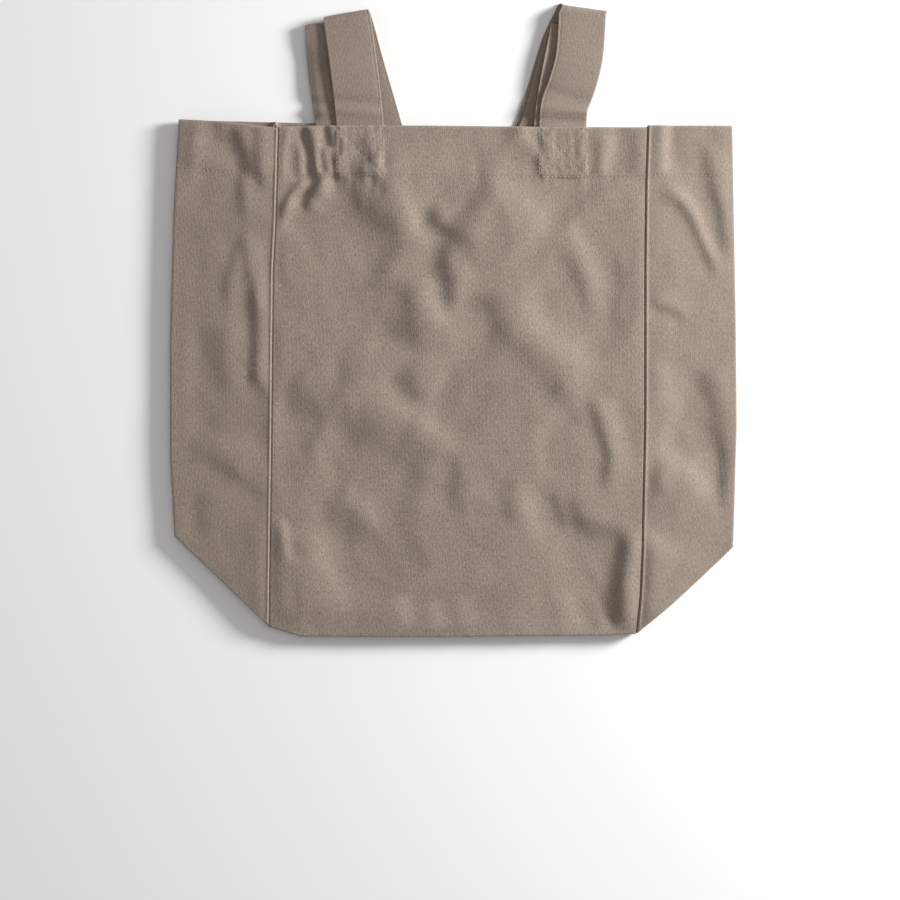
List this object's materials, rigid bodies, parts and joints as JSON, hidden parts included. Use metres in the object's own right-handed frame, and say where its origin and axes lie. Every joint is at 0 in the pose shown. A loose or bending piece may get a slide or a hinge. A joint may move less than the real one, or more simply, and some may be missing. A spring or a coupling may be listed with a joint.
{
  "type": "fruit picking bag",
  "caption": "Gusseted canvas carrying bag with a tucked-in base and two folded-back strap handles, lying flat; it opens to a box and its handles swing up.",
  "frame": {"origin": "middle of the folded bag's outline, on the surface that it lies on", "axes": "+X to the bag's right side, +Y to its mouth and handle folds, +Z out of its front panel"},
  "size_m": [0.446, 0.493, 0.0118],
  "materials": {
    "body_canvas": "matte plain-weave canvas",
    "gusset_canvas": "matte plain-weave canvas",
    "hem_canvas": "matte plain-weave canvas",
    "strap_canvas": "matte folded canvas",
    "thread": "matte spun thread"
  },
  "bodies": {
    "back_panel": {"back_panel": "body_canvas", "back_hem": "hem_canvas", "back_left_seam": "hem_canvas", "back_right_seam": "hem_canvas", "back_hem_stitching": "thread", "back_left_strap": "strap_canvas", "back_right_strap": "strap_canvas", "back_left_box_stitch": "thread", "back_right_box_stitch": "thread"},
    "front_panel": {"front_panel": "body_canvas", "front_hem": "hem_canvas", "front_left_seam": "hem_canvas", "front_right_seam": "hem_canvas", "front_hem_stitching": "thread", "front_left_strap": "strap_canvas", "front_right_strap": "strap_canvas", "front_left_box_stitch": "thread", "front_right_box_stitch": "thread"},
    "front_handle": {"front_handle_loop": "strap_canvas"},
    "back_handle": {"back_handle_loop": "strap_canvas"},
    "base_back": {"base_back_half": "body_canvas", "base_back_seam": "hem_canvas"},
    "base_front": {"base_front_half": "body_canvas", "base_front_seam": "hem_canvas"},
    "left_gusset_front": {"left_gusset_front_half": "gusset_canvas", "left_gusset_front_hem": "hem_canvas", "left_gusset_front_stitching": "thread"},
    "left_front_corner": {"left_front_corner_fold": "gusset_canvas"},
    "left_gusset_back": {"left_gusset_back_half": "gusset_canvas", "left_gusset_back_hem": "hem_canvas", "left_gusset_back_stitching": "thread"},
    "left_back_corner": {"left_back_corner_fold": "gusset_canvas"},
    "right_gusset_front": {"right_gusset_front_half": "gusset_canvas", "right_gusset_front_hem": "hem_canvas", "right_gusset_front_stitching": "thread"},
    "right_front_corner": {"right_front_corner_fold": "gusset_canvas"},
    "right_gusset_back": {"right_gusset_back_half": "gusset_canvas", "right_gusset_back_hem": "hem_canvas", "right_gusset_back_stitching": "thread"},
    "right_back_corner": {"right_back_corner_fold": "gusset_canvas"}
  },
  "joints": [
    {"name": "bag_open", "type": "hinge", "parent": "back_panel", "child": "left_gusset_back", "pos_m": [-0.146, 0, 0.0048], "axis": [0, 1, 0], "range_deg": [0, 90]},
    {"name": "left_gusset_fold", "type": "hinge", "parent": "left_gusset_back", "child": "left_gusset_front", "pos_m": [-0.223, 0, 0.0078], "axis": [0, -1, 0], "range_deg": [0, 180]},
    {"name": "front_panel_lift", "type": "hinge", "parent": "left_gusset_front", "child": "front_panel", "pos_m": [-0.146, 0, 0.0108], "axis": [0, 1, 0], "range_deg": [0, 90]},
    {"name": "right_gusset_seam", "type": "hinge", "parent": "back_panel", "child": "right_gusset_back", "pos_m": [0.146, 0, 0.0048], "axis": [0, -1, 0], "range_deg": [0, 90]},
    {"name": "right_gusset_fold", "type": "hinge", "parent": "right_gusset_back", "child": "right_gusset_front", "pos_m": [0.223, 0, 0.0078], "axis": [0, 1, 0], "range_deg": [0, 180]},
    {"name": "base_seam", "type": "hinge", "parent": "back_panel", "child": "base_back", "pos_m": [0, -0.2465, 0.0048], "axis": [1, 0, 0], "range_deg": [0, 90]},
    {"name": "base_fold", "type": "hinge", "parent": "base_back", "child": "base_front", "pos_m": [0, -0.1695, 0.0078], "axis": [-1, 0, 0], "range_deg": [0, 180]},
    {"name": "left_back_corner_fold", "type": "hinge", "parent": "left_gusset_back", "child": "left_back_corner", "pos_m": [-0.1845, -0.208, 0.0049], "axis": [0.7071, -0.7071, 0], "range_deg": [0, 180], "deforming": ["left_back_corner_fold"]},
    {"name": "left_front_corner_fold", "type": "hinge", "parent": "left_gusset_front", "child": "left_front_corner", "pos_m": [-0.1845, -0.208, 0.0107], "axis": [-0.7071, 0.7071, 0], "range_deg": [0, 180], "deforming": ["left_front_corner_fold"]},
    {"name": "right_back_corner_fold", "type": "hinge", "parent": "right_gusset_back", "child": "right_back_corner", "pos_m": [0.1845, -0.208, 0.0049], "axis": [0.7071, 0.7071, 0], "range_deg": [0, 180], "deforming": ["right_back_corner_fold"]},
    {"name": "right_front_corner_fold", "type": "hinge", "parent": "right_gusset_front", "child": "right_front_corner", "pos_m": [0.1845, -0.208, 0.0107], "axis": [-0.7071, -0.7071, 0], "range_deg": [0, 180], "deforming": ["right_front_corner_fold"]},
    {"name": "handles_swing", "type": "hinge", "parent": "front_panel", "child": "front_handle", "pos_m": [0, 0.2415, 0.005], "axis": [1, 0, 0], "range_deg": [0, 180], "deforming": ["front_handle_loop"]},
    {"name": "back_handle_swing", "type": "hinge", "parent": "back_panel", "child": "back_handle", "pos_m": [0, 0.2295, 0.00455], "axis": [1, 0, 0], "range_deg": [0, 180], "deforming": ["back_handle_loop"]}
  ],
  "couplings": [
    {"joint": "left_gusset_fold", "follows": "bag_open", "ratio": 2},
    {"joint": "front_panel_lift", "follows": "bag_open", "ratio": 1},
    {"joint": "right_gusset_seam", "follows": "bag_open", "ratio": 1},
    {"joint": "right_gusset_fold", "follows": "bag_open", "ratio": 2},
    {"joint": "base_seam", "follows": "bag_open", "ratio": 1},
    {"joint": "base_fold", "follows": "bag_open", "ratio": 2},
    {"joint": "left_back_corner_fold", "follows": "bag_open", "ratio": 2},
    {"joint": "left_front_corner_fold", "follows": "bag_open", "ratio": 2},
    {"joint": "right_back_corner_fold", "follows": "bag_open", "ratio": 2},
    {"joint": "right_front_corner_fold", "follows": "bag_open", "ratio": 2},
    {"joint": "back_handle_swing", "follows": "handles_swing", "ratio": 1}
  ]
}
